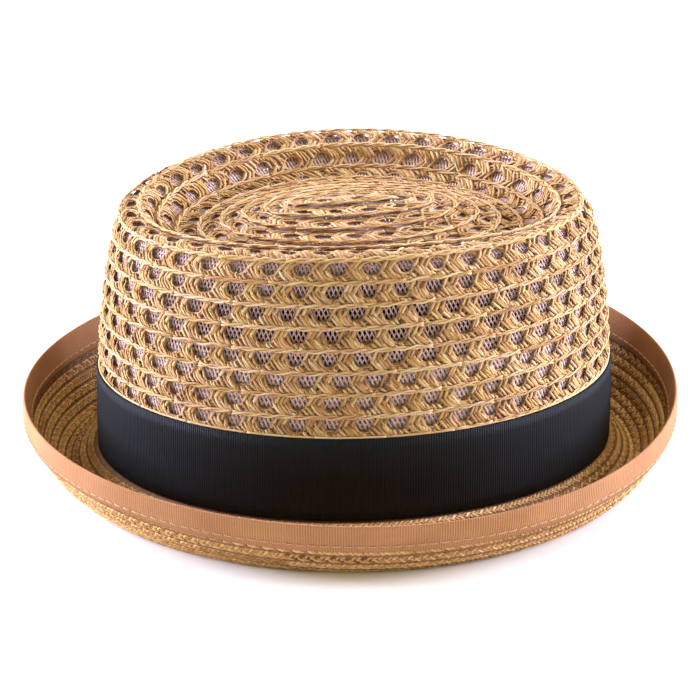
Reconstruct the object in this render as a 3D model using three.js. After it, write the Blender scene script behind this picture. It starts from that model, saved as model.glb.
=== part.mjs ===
/*
 * Straw hat with a flat, guttered crown: an open lace braid crown with a net lining, a ribbon
 * band, and a tight braid brim that curls up to a bound rim.
 *
 * Millimetres, +Z up. +X runs along the head's long axis. The hat rests on z = 0 on the lowest
 * ring of its brim, and the middle of its bounding box is over the origin.
 *
 * Every piece is a thin closed shell around the head. A ring is one level of such a shell: an
 * oval of RING_CORNERS points. A skin is a list of rings, and a shell joins two skins.
 */
import * as THREE from "three";

// Around the head.
const RING_CORNERS = 48;

// Brim, measured over its binding. The ends are the +X and -X sides.
const RIM_LONG_HALF = 131;
const RIM_SHORT_HALF = 119.4;
const RIM_HEIGHT = 31.1;
const RIM_RISE_TO_BACK = 6.4;
const RIM_RISE_TO_END = 1.6;
const RIM_TWIST = 1.7;
const BRIM_WALL = 2;
const BREAK_HEIGHT = 7.9;

// Crown, measured over the lace braid just above the brim.
const CROWN_LONG_HALF = 102.2;
const CROWN_SHORT_HALF = 83.1;
const CROWN_TOP_HEIGHT = 112.2;
const CROWN_WALL = 1.8;
const CROWN_SHIFT = new THREE.Vector3(1.9, 2.3, 0);
const CROWN_TURN = THREE.MathUtils.degToRad(8);

// Ribbons and the net.
const BAND_WIDTH = 33;
const BAND_THICKNESS = 1;
const BINDING_WIDTH = 11.5;
const BINDING_THICKNESS = 1;
const LINING_THICKNESS = 1;

// Clearances between pieces that lie on each other.
const PIECE_GAP = 0.3;
const LINING_GAP = 0.5;

// Lace: rows of braid between the band and the ridge, and the openings cut through each row.
const LACE_ROWS = 8;
const PIERCED_ROWS = 7;
const CELLS_PER_OPENING = 3;
const OPENING_FOOT_SHARE = 0.42;
const OPENING_HEAD_SHARE = 0.92;

const CROWN_FOOT_HEIGHT = BREAK_HEIGHT + PIECE_GAP;
const CROWN_RISE = CROWN_TOP_HEIGHT - CROWN_FOOT_HEIGHT;
const BAND_TOP_SHARE = (BAND_WIDTH + PIECE_GAP) / CROWN_RISE;
const BINDING_BULK = PIECE_GAP + BINDING_THICKNESS;

// One row per level of the crown's outside, from the foot over the ridge to the middle of the
// tip. Reaches are shares of the crown's half sizes. Rises are shares of the crown's rise, at
// the two ends and at the front and back.
const CROWN_LEVELS = [
  { place: "foot", long: 1, short: 1, endRise: 0, sideRise: 0 },
  { place: "band_top", long: 0.995, short: 0.997, endRise: BAND_TOP_SHARE, sideRise: BAND_TOP_SHARE },
  { place: "wall_middle", long: 0.978, short: 0.978, endRise: 0.57, sideRise: 0.58 },
  { place: "wall_upper", long: 0.943, short: 0.945, endRise: 0.78, sideRise: 0.8 },
  { place: "shoulder", long: 0.918, short: 0.926, endRise: 0.88, sideRise: 0.92 },
  { place: "ridge_outside", long: 0.893, short: 0.911, endRise: 0.935, sideRise: 0.972 },
  { place: "ridge", long: 0.856, short: 0.876, endRise: 0.953, sideRise: 1 },
  { place: "ridge_inside", long: 0.805, short: 0.81, endRise: 0.945, sideRise: 0.995 },
  { place: "gutter_brow", long: 0.757, short: 0.748, endRise: 0.905, sideRise: 0.96 },
  { place: "gutter_wall", long: 0.71, short: 0.69, endRise: 0.86, sideRise: 0.9 },
  { place: "gutter", long: 0.655, short: 0.61, endRise: 0.845, sideRise: 0.88 },
  { place: "tip_edge", long: 0.56, short: 0.48, endRise: 0.868, sideRise: 0.888 },
  { place: "tip_middle", long: 0.4, short: 0.29, endRise: 0.918, sideRise: 0.92 },
  { place: "tip_seam", long: 0.21, short: 0.036, endRise: 0.958, sideRise: 0.965 },
];
const FIRST_LACE_LEVEL = 1;
const RIDGE_OUTSIDE_LEVEL = 5;

// One row per level of the brim's underside, from the head's edge outwards. Reaches are shares
// of the way from the head's edge to the rim. Heights are shares of the break's height and of
// the rim's height, which changes around the head.
const BRIM_LEVELS = [
  { place: "head_edge", long: 0, short: 0, breakShare: 1, rimShare: 0 },
  { place: "break", long: 0.11, short: 0.09, breakShare: 1, rimShare: 0 },
  { place: "fall", long: 0.27, short: 0.4, breakShare: 0.4, rimShare: 0 },
  { place: "rest_inner", long: 0.4, short: 0.64, breakShare: 0, rimShare: 0 },
  { place: "rest_outer", long: 0.49, short: 0.73, breakShare: 0, rimShare: 0 },
  { place: "curl_foot", long: 0.64, short: 0.79, breakShare: 0, rimShare: 0.12 },
  { place: "curl", long: 0.78, short: 0.84, breakShare: 0, rimShare: 0.3 },
  { place: "curl_upper", long: 0.955, short: 0.905, breakShare: 0, rimShare: 0.66 },
  { place: "rim", long: 1, short: 1, breakShare: 0, rimShare: 1 },
];
const FREE_BRIM_LEVELS = 7;

const FINISHES = {
  laceStraw: { color: 0xc79e66, roughness: 0.7, metalness: 0 },
  brimStraw: { color: 0xa9834f, roughness: 0.75, metalness: 0 },
  bandRibbon: { color: 0x15171b, roughness: 0.6, metalness: 0 },
  bindingRibbon: { color: 0xd08f69, roughness: 0.65, metalness: 0 },
  net: { color: 0x8b7680, roughness: 0.8, metalness: 0 },
};

const ringAngles = Array.from({ length: RING_CORNERS }, (_, j) => (2 * Math.PI * j) / RING_CORNERS);

/** Rim height over the resting plane at one angle around the head. */
function rimHeight(angle) {
  const tilt = RIM_RISE_TO_BACK * Math.sin(angle) + RIM_RISE_TO_END * Math.cos(angle);
  return RIM_HEIGHT + tilt + RIM_TWIST * Math.sin(2 * angle);
}

/** Places a point of the crown, drawn about its own middle, on the hat. */
function placeOnCrown(point, share = 1) {
  const turned = point.applyAxisAngle(new THREE.Vector3(0, 0, 1), CROWN_TURN * share);
  return turned.addScaledVector(CROWN_SHIFT, share);
}

/** A smooth oval surface through the crown's levels. A position counts levels, in fractions too. */
class CrownForm {
  constructor(levels) {
    const profilePoint = (reach, rise) => new THREE.Vector3(reach, 0, CROWN_FOOT_HEIGHT + rise * CROWN_RISE);
    const ends = levels.map(({ long, endRise }) => profilePoint(long * CROWN_LONG_HALF, endRise));
    const sides = levels.map(({ short, sideRise }) => profilePoint(short * CROWN_SHORT_HALF, sideRise));
    this.lastLevel = levels.length - 1;
    this.endProfile = new THREE.CatmullRomCurve3(ends, false, "catmullrom");
    this.sideProfile = new THREE.CatmullRomCurve3(sides, false, "catmullrom");
  }

  ring(position) {
    const end = this.endProfile.getPoint(position / this.lastLevel);
    const side = this.sideProfile.getPoint(position / this.lastLevel);
    return ringAngles.map((angle) => {
      const endShare = Math.cos(angle) ** 2;
      const height = THREE.MathUtils.lerp(side.z, end.z, endShare);
      return placeOnCrown(new THREE.Vector3(end.x * Math.cos(angle), side.x * Math.sin(angle), height));
    });
  }

  /** Splits the wall between two levels into rows of equal height, and gives the position of a row. */
  rowPositions(firstLevel, endLevel, rows) {
    const samples = 200;
    const positions = Array.from({ length: samples + 1 }, (_, k) =>
      THREE.MathUtils.lerp(firstLevel, endLevel, k / samples));
    const points = positions.map((position) => this.sideProfile.getPoint(position / this.lastLevel));
    const reached = [0];
    points.slice(1).forEach((point, k) => reached.push(reached[k] + point.distanceTo(points[k])));
    return (share) => {
      const target = (share / rows) * reached[samples];
      const k = Math.max(1, reached.findIndex((length) => length >= target - 1e-9));
      const between = (target - reached[k - 1]) / (reached[k] - reached[k - 1]);
      return THREE.MathUtils.lerp(positions[k - 1], positions[k], between);
    };
  }
}

/** One ring of the brim's underside. */
function brimRing({ long, short, breakShare, rimShare }) {
  const headLong = CROWN_LONG_HALF - CROWN_WALL;
  const headShort = CROWN_SHORT_HALF - CROWN_WALL;
  const longHalf = THREE.MathUtils.lerp(headLong, RIM_LONG_HALF - BINDING_BULK, long);
  const shortHalf = THREE.MathUtils.lerp(headShort, RIM_SHORT_HALF - BINDING_BULK, short);
  const headInfluence = 1 - (long + short) / 2;
  return ringAngles.map((angle) => {
    const breakPart = breakShare * (BREAK_HEIGHT - BRIM_WALL);
    const rimPart = rimShare * (rimHeight(angle) - BINDING_BULK);
    const reach = new THREE.Vector3(longHalf * Math.cos(angle), shortHalf * Math.sin(angle), 0);
    return placeOnCrown(reach.setZ(breakPart + rimPart), headInfluence);
  });
}

/** Unit normals of a skin: the cross product of its run around the head and its run up the levels. */
function skinNormals(skin) {
  return skin.map((ring, i) =>
    ring.map((_, j) => {
      const along = new THREE.Vector3()
        .subVectors(skin[Math.min(i + 1, skin.length - 1)][j], skin[Math.max(i - 1, 0)][j]);
      const next = ring[(j + 1) % RING_CORNERS];
      const previous = ring[(j + RING_CORNERS - 1) % RING_CORNERS];
      const around = new THREE.Vector3().subVectors(next, previous);
      return around.cross(along).normalize();
    }));
}

/** A copy of the skin moved along its normals. */
function offsetSkin(skin, distance) {
  const normals = skinNormals(skin);
  const moved = (point, normal) => point.clone().addScaledVector(normal, distance);
  return skin.map((ring, i) => ring.map((point, j) => moved(point, normals[i][j])));
}

/** Collects triangles from corners given by skin, level and place around the ring. */
class ShellBuilder {
  constructor() {
    this.corners = [];
    this.triangles = [];
  }

  addSkin(skin) {
    const first = this.corners.length;
    skin.forEach((ring) => this.corners.push(...ring));
    return (i, j) => first + i * RING_CORNERS + ((j + RING_CORNERS) % RING_CORNERS);
  }

  quad(a, b, c, d) {
    this.triangles.push(a, b, c, a, c, d);
  }

  /** Fills the ring at one level from each point to its mirror image across the long axis. */
  capRing(corner, level, flipped) {
    for (let j = 0; j < RING_CORNERS / 2; j += 1) {
      const run = [corner(level, j), corner(level, j + 1), corner(level, -j - 1), corner(level, -j)];
      const [a, b, c, d] = flipped ? run.reverse() : run;
      if (j > 0 && j < RING_CORNERS / 2 - 1) {
        this.quad(a, b, c, d);
      } else {
        this.triangles.push(...[...new Set([a, b, c, d])]);
      }
    }
  }

  geometry() {
    const geometry = new THREE.BufferGeometry();
    const positions = this.corners.flatMap((corner) => corner.toArray());
    geometry.setAttribute("position", new THREE.Float32BufferAttribute(positions, 3));
    geometry.setIndex(this.triangles);
    geometry.computeVertexNormals();
    return geometry;
  }
}

/**
 * A closed shell between an outer and an inner skin. Cells for which isOpen(level, place) is
 * true are cut through. A capped shell closes over its last ring. An uncapped one ends there.
 */
function shellGeometry(outer, inner, { isOpen = () => false, capped = false } = {}) {
  const builder = new ShellBuilder();
  const out = builder.addSkin(outer);
  const inn = builder.addSkin(inner);
  const bands = outer.length - 1;
  const solid = (i, j) => i >= 0 && i < bands && !isOpen(i, (j + RING_CORNERS) % RING_CORNERS);
  for (let i = 0; i < bands; i += 1) {
    for (let j = 0; j < RING_CORNERS; j += 1) {
      if (!solid(i, j)) {
        continue;
      }
      builder.quad(out(i, j), out(i, j + 1), out(i + 1, j + 1), out(i + 1, j));
      builder.quad(inn(i + 1, j), inn(i + 1, j + 1), inn(i, j + 1), inn(i, j));
      if (!solid(i - 1, j)) {
        builder.quad(inn(i, j), inn(i, j + 1), out(i, j + 1), out(i, j));
      }
      if (!solid(i + 1, j) && !(capped && i === bands - 1)) {
        builder.quad(out(i + 1, j), out(i + 1, j + 1), inn(i + 1, j + 1), inn(i + 1, j));
      }
      if (!solid(i, j - 1)) {
        builder.quad(out(i, j), out(i + 1, j), inn(i + 1, j), inn(i, j));
      }
      if (!solid(i, j + 1)) {
        builder.quad(inn(i, j + 1), inn(i + 1, j + 1), out(i + 1, j + 1), out(i, j + 1));
      }
    }
  }
  if (capped) {
    builder.capRing(out, bands, false);
    builder.capRing(inn, bands, true);
  }
  return builder.geometry();
}

/** The crown's lace braid: wall, ridge, gutter and tip, with openings cut through the wall. */
function crownSkins(form) {
  const rowPosition = form.rowPositions(FIRST_LACE_LEVEL, RIDGE_OUTSIDE_LEVEL, LACE_ROWS);
  const positions = [0, FIRST_LACE_LEVEL];
  const openBands = new Map();
  for (let row = 0; row < PIERCED_ROWS; row += 1) {
    positions.push(rowPosition(row + OPENING_FOOT_SHARE));
    openBands.set(positions.length - 1, row);
    positions.push(rowPosition(row + OPENING_HEAD_SHARE));
  }
  for (let level = RIDGE_OUTSIDE_LEVEL; level <= form.lastLevel; level += 1) {
    positions.push(level);
  }
  const outer = positions.map((position) => form.ring(position));
  const isOpen = (band, place) => {
    if (!openBands.has(band)) {
      return false;
    }
    const shift = openBands.get(band) % 2 === 0 ? 0 : Math.ceil(CELLS_PER_OPENING / 2);
    return (place + shift) % CELLS_PER_OPENING === 0;
  };
  return { outer, inner: offsetSkin(outer, -CROWN_WALL), isOpen };
}

/** The net lining follows the crown's inside from the brim to the tip. */
function liningSkins(form) {
  const levels = Array.from({ length: form.lastLevel + 1 }, (_, level) => level);
  const crownOutside = levels.map((level) => form.ring(level));
  const outerDepth = CROWN_WALL + LINING_GAP;
  return {
    outer: offsetSkin(crownOutside, -outerDepth),
    inner: offsetSkin(crownOutside, -outerDepth - LINING_THICKNESS),
  };
}

/** The ribbon band lies on the crown's outside, from its foot up to the first lace row. */
function bandSkins(form) {
  const crownOutside = [0, FIRST_LACE_LEVEL].map((position) => form.ring(position));
  return {
    outer: offsetSkin(crownOutside, PIECE_GAP + BAND_THICKNESS),
    inner: offsetSkin(crownOutside, PIECE_GAP),
  };
}

/** The brim's underside. Its last rings lie where the binding's edge, middle and fold lie. */
function brimUnderside() {
  const levels = BRIM_LEVELS.map((level) => brimRing(level));
  const runs = ringAngles.map((_, j) =>
    new THREE.CatmullRomCurve3(levels.map((ring) => ring[j]), false, "catmullrom"));
  const ringBackFromRim = (length) => runs.map((run) => run.getPointAt(1 - length / run.getLength()));
  return [
    ...levels.slice(0, FREE_BRIM_LEVELS),
    ringBackFromRim(BINDING_WIDTH),
    ringBackFromRim(BINDING_WIDTH / 2),
    levels.at(-1),
  ];
}

/** The brim's underside and top. */
function brimSkins() {
  const under = brimUnderside();
  return { outer: under, inner: offsetSkin(under, -BRIM_WALL) };
}

/**
 * The ribbon binding folds over the rim. Each of its skins runs up the brim's underside, around
 * the rim in a half circle and down the brim's top.
 */
function bindingSkins() {
  const under = brimUnderside();
  const skin = (clearance) => {
    const outside = offsetSkin(under, clearance).slice(-3);
    const inside = offsetSkin(under, -BRIM_WALL - clearance).slice(-3);
    const fold = (share) => ringAngles.map((_, j) => {
      const middle = outside[2][j].clone().lerp(inside[2][j], 0.5);
      const outward = outside[2][j].clone().sub(middle);
      const upward = outside[2][j].clone().sub(outside[1][j]).setLength(outward.length());
      return middle
        .addScaledVector(outward, Math.cos(Math.PI * share))
        .addScaledVector(upward, Math.sin(Math.PI * share));
    });
    return [...outside, fold(0.25), fold(0.5), fold(0.75), ...inside.reverse()];
  };
  return { outer: skin(BINDING_BULK), inner: skin(PIECE_GAP) };
}

/** A named mesh with a finish of its own. */
function piece(name, geometry, finish) {
  const material = new THREE.MeshStandardMaterial({ ...finish, name: `${name}_finish` });
  const mesh = new THREE.Mesh(geometry, material);
  mesh.name = name;
  return mesh;
}

function buildHat() {
  const form = new CrownForm(CROWN_LEVELS);
  const crown = crownSkins(form);
  const lining = liningSkins(form);
  const band = bandSkins(form);
  const brim = brimSkins();
  const binding = bindingSkins();
  const hat = new THREE.Group();
  hat.name = "straw_hat";
  hat.add(piece(
    "crown",
    shellGeometry(crown.outer, crown.inner, { isOpen: crown.isOpen, capped: true }),
    FINISHES.laceStraw,
  ));
  hat.add(piece("crown_lining", shellGeometry(lining.outer, lining.inner, { capped: true }), FINISHES.net));
  hat.add(piece("hat_band", shellGeometry(band.outer, band.inner), FINISHES.bandRibbon));
  hat.add(piece("brim", shellGeometry(brim.outer, brim.inner), FINISHES.brimStraw));
  hat.add(piece("brim_binding", shellGeometry(binding.outer, binding.inner), FINISHES.bindingRibbon));
  return hat;
}

export default buildHat();
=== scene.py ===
"""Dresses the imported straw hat: an openwork braid crown over a net lining, a tight braid
brim, a black ribbed band and a ribbed ribbon that binds the edge of the brim."""

import logging
import math
from dataclasses import astuple, dataclass, field
from enum import Enum
from typing import Any, ClassVar

import bpy
import numpy as np
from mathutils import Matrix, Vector


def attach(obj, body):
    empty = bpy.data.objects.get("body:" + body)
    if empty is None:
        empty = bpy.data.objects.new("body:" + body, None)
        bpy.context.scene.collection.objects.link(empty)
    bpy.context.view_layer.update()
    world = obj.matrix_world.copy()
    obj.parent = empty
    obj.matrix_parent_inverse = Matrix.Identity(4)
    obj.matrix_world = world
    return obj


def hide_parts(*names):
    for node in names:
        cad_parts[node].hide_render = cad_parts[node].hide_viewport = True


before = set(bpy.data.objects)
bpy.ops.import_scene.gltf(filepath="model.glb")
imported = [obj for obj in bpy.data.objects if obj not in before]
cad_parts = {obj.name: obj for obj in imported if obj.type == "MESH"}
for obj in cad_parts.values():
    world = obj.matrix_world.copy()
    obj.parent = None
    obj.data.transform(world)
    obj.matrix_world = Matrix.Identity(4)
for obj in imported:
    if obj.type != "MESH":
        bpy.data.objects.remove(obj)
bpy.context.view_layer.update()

BODY = "root"
MM = 0.001
TURN = 2 * math.pi
STRAND_WORDS = "strand"
# How far under the weave each straw lies, which the straw's material turns into painted shade.
UNDER_SHADE_WORDS = "sunk"
RIBBON_WORDS = "ribbon"
BAKE_MAP = "OFBake"
SPOKES = 360
LOG = logging.getLogger("straw_hat")

Colour = tuple[float, float, float]
Place = tuple[float, float, float]
Span = tuple[float, float]


# Shader graphs


class Value:
    """A number on a socket that Python's operators work on."""

    def __init__(self, graph: "Graph", socket: bpy.types.NodeSocket) -> None:
        """Keeps the graph and the socket."""
        self.graph = graph
        self.socket = socket

    def __add__(self, other: Any) -> "Value":
        """This plus other."""
        return self.graph.number("ADD", self, other)

    def __sub__(self, other: Any) -> "Value":
        """This less other."""
        return self.graph.number("SUBTRACT", self, other)

    def __mul__(self, other: Any) -> "Value":
        """This times other."""
        return self.graph.number("MULTIPLY", self, other)

    def __pow__(self, other: Any) -> "Value":
        """This to the power of other."""
        return self.graph.number("POWER", self, other)

    def __abs__(self) -> "Value":
        """This without its sign."""
        return self.graph.number("ABSOLUTE", self)


class Graph:
    """The node tree of one material."""

    def __init__(self, name: str) -> None:
        """Makes the material with an empty tree."""
        self.material = bpy.data.materials.new(name)
        self.material.use_nodes = True
        self.tree = self.material.node_tree
        self.tree.nodes.clear()

    def node(
        self,
        kind: str,
        settings: dict[str, Any] | None = None,
        sockets: dict[str | int, Any] | None = None,
    ) -> bpy.types.Node:
        """Adds a node.

        Args:
            kind: The node's type.
            settings: Its own settings, or "stops" for a ramp's places and colours.
            sockets: A number, colour, Value or socket for each input.

        Returns:
            The new node.
        """
        made = self.tree.nodes.new(kind)
        for key, value in (settings or {}).items():
            if key == "stops":
                self._set_stops(made.color_ramp, value)
            else:
                setattr(made, key, value)
        for key, value in (sockets or {}).items():
            if isinstance(value, Value):
                value = value.socket
            if isinstance(value, bpy.types.NodeSocket):
                self.tree.links.new(value, made.inputs[key])
            else:
                made.inputs[key].default_value = value
        return made

    @staticmethod
    def _set_stops(ramp: bpy.types.ColorRamp, stops: tuple) -> None:
        """Gives a ramp its places and colours.

        Args:
            ramp: The ramp of a new node, which has two stops.
            stops: Pairs of a place from 0 to 1 and a colour of three numbers.
        """
        while len(ramp.elements) < len(stops):
            ramp.elements.new(0.5)
        for element, (place, colour) in zip(ramp.elements, stops):
            element.position = place
            element.color = (*colour, 1.0)

    def number(self, operation: str, *inputs: Any) -> Value:
        """Adds a Math node.

        Args:
            operation: What the node does.
            inputs: Its numbers or Values.

        Returns:
            The result.
        """
        made = self.node("ShaderNodeMath", {"operation": operation}, dict(enumerate(inputs)))
        return Value(self, made.outputs[0])

    def clamped(self, low: float, high: float, value: Value) -> Value:
        """How far value has gone from low to high, held between 0 and 1."""
        made = self.node(
            "ShaderNodeMapRange",
            {"interpolation_type": "SMOOTHSTEP"},
            {"Value": value, "From Min": low, "From Max": high},
        )
        return Value(self, made.outputs["Result"])

    def words(self, name: str) -> tuple[Value, Value, Value]:
        """The three numbers that a mesh carries under a name."""
        read = self.node("ShaderNodeAttribute", {"attribute_name": name})
        split = self.node("ShaderNodeSeparateXYZ", sockets={0: read.outputs["Vector"]})
        return tuple(Value(self, split.outputs[i]) for i in range(3))

    def joined(self, x: Any, y: Any, z: Any) -> bpy.types.NodeSocket:
        """Three numbers as one vector."""
        return self.node("ShaderNodeCombineXYZ", sockets={0: x, 1: y, 2: z}).outputs[0]

    def noise(self, vector: Any, scale: float, detail: float = 2.0) -> Value:
        """Soft noise from 0 to 1.

        Args:
            vector: Where it is read.
            scale: Its lumps for one unit.
            detail: Its finer layers.

        Returns:
            The noise.
        """
        made = self.node(
            "ShaderNodeTexNoise", sockets={"Vector": vector, "Scale": scale, "Detail": detail}
        )
        return Value(self, made.outputs["Fac"])

    def place(self) -> bpy.types.NodeSocket:
        """Where a point is on the object, in metres."""
        return self.node("ShaderNodeTexCoord").outputs["Object"]

    def ramp(self, value: Value, stops: tuple) -> bpy.types.NodeSocket:
        """The colour that a ramp gives a value."""
        made = self.node("ShaderNodeValToRGB", {"stops": stops}, {"Fac": value})
        return made.outputs["Color"]

    def mix(self, share: Any, first: Any, second: Any, blend: str = "MIX") -> bpy.types.NodeSocket:
        """Mixes two colours.

        Args:
            share: How much of the second.
            first: A colour or socket.
            second: A colour or socket.
            blend: The way of mixing.

        Returns:
            The mixed colour.
        """
        made = self.node(
            "ShaderNodeMix",
            {"data_type": "RGBA", "blend_type": blend},
            {0: share, 6: first, 7: second},
        )
        return made.outputs[2]

    def finish(
        self,
        colour: Any,
        roughness: Any,
        height: Value | None = None,
        relief: float = 0.0,
        constants: dict[str, Any] | None = None,
    ) -> bpy.types.Material:
        """Closes the graph with one principled shader.

        Args:
            colour: The base colour.
            roughness: The roughness.
            height: The bump's height, in millimetres.
            relief: How much of that height counts.
            constants: Other sockets that are the same all over.

        Returns:
            The material.
        """
        sockets: dict[str | int, Any] = {"Base Color": colour, "Roughness": roughness}
        if height is not None:
            bump = self.node(
                "ShaderNodeBump", sockets={"Strength": relief, "Distance": MM, "Height": height}
            )
            sockets["Normal"] = bump.outputs["Normal"]
        sockets.update(constants or {})
        shader = self.node("ShaderNodeBsdfPrincipled", sockets=sockets)
        self.node("ShaderNodeOutputMaterial", sockets={"Surface": shader.outputs[0]})
        return self.material


# Finishes


@dataclass(frozen=True)
class StrawFinish:
    """Split straw: each strand has its own shade, with fibres along it; its edges, and the
    stretches where it passes under other strands, are darkened as painted shade.

    The last number of fibre_scale and of blot_scale sets strands of other shades apart, and
    tint_draw decides by the shade which strands are tinted.
    """

    name: str
    dark: Colour
    middle: Colour
    light: Colour
    pale: Colour
    tint: Colour
    # Painted shade: how much darker a strand grows towards its edges.
    painted_edge_shade: float = 0.15
    # Painted shade: how much darker a strand is where it passes under others.
    painted_under_shade: float = 0.25
    roughness: float = 0.78
    rough_spread: float = 0.22
    specular: float = 0.25
    sheen: float = 0.28
    sheen_roughness: float = 0.45
    relief: float = 0.55
    stops: tuple[float, float, float, float] = (0.0, 0.34, 0.68, 1.0)
    fibre_scale: tuple[float, float, float] = (0.16, 1.7, 57.0)
    fibre_share: float = 0.55
    blot_scale: tuple[float, float] = (0.21, 31.0)
    blot_share: float = 0.5
    tint_draw: float = 37.7
    tint_range: Span = (0.3, 0.75)
    tint_share: float = 0.75
    fibre_height: float = 0.35
    edge_drop: float = 0.1

    def material(self) -> bpy.types.Material:
        """The straw's material, which reads each strand's words."""
        graph = Graph(self.name)
        words = graph.words(STRAND_WORDS)
        _, across, tone = words
        read = graph.joined(*(word * scale for word, scale in zip(words, self.fibre_scale)))
        fibres = graph.noise(read, 3.0, 3.0)
        blot_along, blot_draw = self.blot_scale
        read = graph.joined(words[0] * blot_along, tone * blot_draw, 0.5)
        blots = graph.noise(read, 1.0, 1.0)
        shade = tone + (fibres - 0.5) * self.fibre_share + (blots - 0.5) * self.blot_share
        colours = (self.dark, self.middle, self.light, self.pale)
        colour = graph.ramp(shade, tuple(zip(self.stops, colours)))
        draw = graph.number("FRACT", tone * self.tint_draw)
        tinted = graph.clamped(*self.tint_range, draw) * self.tint_share
        colour = graph.mix(tinted, colour, (*self.tint, 1.0), "MULTIPLY")
        # Painted shade: a strand darkens by how far under other strands it lies.
        sunk, _, _ = graph.words(UNDER_SHADE_WORDS)
        # Painted shade: each strand darkens towards its edges, where it meets its neighbours.
        rim = abs(across) ** 3.0 * self.painted_edge_shade
        colour = graph.mix(rim + sunk * self.painted_under_shade, colour, (*self.dark, 1.0))
        height = fibres * self.fibre_height - abs(across) * self.edge_drop
        rough = fibres * self.rough_spread + (self.roughness - self.rough_spread / 2)
        constants = {
            "Specular IOR Level": self.specular,
            "Sheen Weight": self.sheen,
            "Sheen Roughness": self.sheen_roughness,
        }
        return graph.finish(colour, rough, height, self.relief, constants)


@dataclass(frozen=True)
class CoreFinish:
    """The inside of a tight braid, seen only in the gaps between its straws; its colours are
    darker than the straws', partly the braid's own straw and partly painted shade in those gaps.
    """

    name: str
    dark: Colour
    light: Colour
    mottle_scale: float = 900.0
    patch_scale: float = 60.0
    patch_share: float = 0.3
    roughness: float = 0.6
    rough_spread: float = 0.2
    relief: float = 0.5

    def material(self) -> bpy.types.Material:
        """The core's material, mottled over the object."""
        graph = Graph(self.name)
        mottle = graph.noise(graph.place(), self.mottle_scale, 3.0)
        patches = graph.noise(graph.place(), self.patch_scale, 2.0)
        shade = mottle * (1 - self.patch_share) + patches * self.patch_share
        colour = graph.ramp(shade, ((0.3, self.dark), (0.7, self.light)))
        rough = mottle * self.rough_spread + self.roughness
        return graph.finish(colour, rough, mottle, self.relief)


@dataclass(frozen=True)
class NetFinish:
    """Fine net threads with soft uneven colour."""

    name: str
    dark: Colour
    light: Colour
    lump_scale: float = 700.0
    roughness: float = 0.6
    rough_spread: float = 0.2
    relief: float = 0.4

    def material(self) -> bpy.types.Material:
        """The net's material, uneven along its threads."""
        graph = Graph(self.name)
        lumps = graph.noise(graph.place(), self.lump_scale, 2.0)
        colour = graph.ramp(lumps, ((0.3, self.dark), (0.7, self.light)))
        rough = lumps * self.rough_spread + self.roughness
        return graph.finish(colour, rough, lumps, self.relief)


@dataclass(frozen=True)
class RibbonFinish:
    """A ribbed ribbon: ribs across it with painted light on their tops and painted shade in their
    hollows, fine warp over them, lint and soft clouds of shade.
    """

    name: str
    dark: Colour
    light: Colour
    rib_pitch: float
    warp_pitch: float
    roughness: float
    sheen: float
    painted_rib_shade: float
    relief: float = 0.8
    wander_scale: float = 0.3
    wander: float = 0.25
    lint_scale: float = 2.2
    cloud_scale: tuple[float, float] = (0.045, 0.06)
    base_shade: float = 0.32
    lint_share: float = 0.5
    cloud_share: float = 0.55
    rib_height: float = 0.12
    warp_height: float = 0.05
    lint_height: float = 0.06
    rough_spread: float = 0.16
    specular: float = 0.18
    sheen_roughness: float = 0.45

    def material(self) -> bpy.types.Material:
        """The ribbon's material, which reads how far along and across it a point is."""
        graph = Graph(self.name)
        along, across, _ = graph.words(RIBBON_WORDS)
        read = graph.joined(along * self.wander_scale, across * self.wander_scale, 0.0)
        wander = graph.noise(read, 1.0, 2.0)
        phase = (along + wander * self.wander) * (TURN / self.rib_pitch)
        ribs = graph.number("SINE", phase) * 0.5 + 0.5
        warp = graph.number("SINE", across * (TURN / self.warp_pitch)) * 0.5 + 0.5
        lint = graph.noise(graph.joined(along, across, 3.0), self.lint_scale, 3.0)
        cloud_along, cloud_across = self.cloud_scale
        read = graph.joined(along * cloud_along, across * cloud_across, 7.0)
        clouds = graph.noise(read, 1.0, 2.0)
        # Painted light and shade: the ribs' tops are coloured lighter and their hollows darker.
        shade = ribs * self.painted_rib_shade + (lint - 0.5) * self.lint_share
        shade = shade + (clouds - 0.5) * self.cloud_share + self.base_shade
        colour = graph.ramp(shade, ((0.0, self.dark), (1.0, self.light)))
        height = ribs * self.rib_height + warp * ribs * self.warp_height
        height = height + lint * self.lint_height
        rough = lint * self.rough_spread + (self.roughness - self.rough_spread / 2)
        constants = {
            "Sheen Weight": self.sheen,
            "Sheen Roughness": self.sheen_roughness,
            "Specular IOR Level": self.specular,
        }
        return graph.finish(colour, rough, height, self.relief, constants)


@dataclass(frozen=True)
class ThreadFinish:
    """Sewing thread with a twist."""

    name: str
    dark: Colour
    light: Colour
    turns: tuple[float, float] = (14.0, 2.5)
    roughness: float = 0.5
    rough_spread: float = 0.2
    height: float = 0.06
    relief: float = 0.6

    def material(self) -> bpy.types.Material:
        """The thread's material, twisted along each stitch."""
        graph = Graph(self.name)
        along, across, _ = graph.words(STRAND_WORDS)
        phase = along * self.turns[0] + across * self.turns[1]
        twist = graph.number("SINE", phase) * 0.5 + 0.5
        colour = graph.ramp(twist, ((0.0, self.dark), (1.0, self.light)))
        rough = twist * self.rough_spread + self.roughness
        return graph.finish(colour, rough, twist * self.height, self.relief)


@dataclass(frozen=True)
class FloorFinish:
    """A plain pale matt floor."""

    name: str
    colour: Colour
    roughness: float = 0.9

    def material(self) -> bpy.types.Material:
        """The floor's material."""
        return Graph(self.name).finish((*self.colour, 1.0), self.roughness)


# Shapes


def unit(vectors: np.ndarray) -> np.ndarray:
    """Vectors at length one."""
    return vectors / np.maximum(np.linalg.norm(vectors, axis=-1, keepdims=True), 1e-9)


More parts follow.
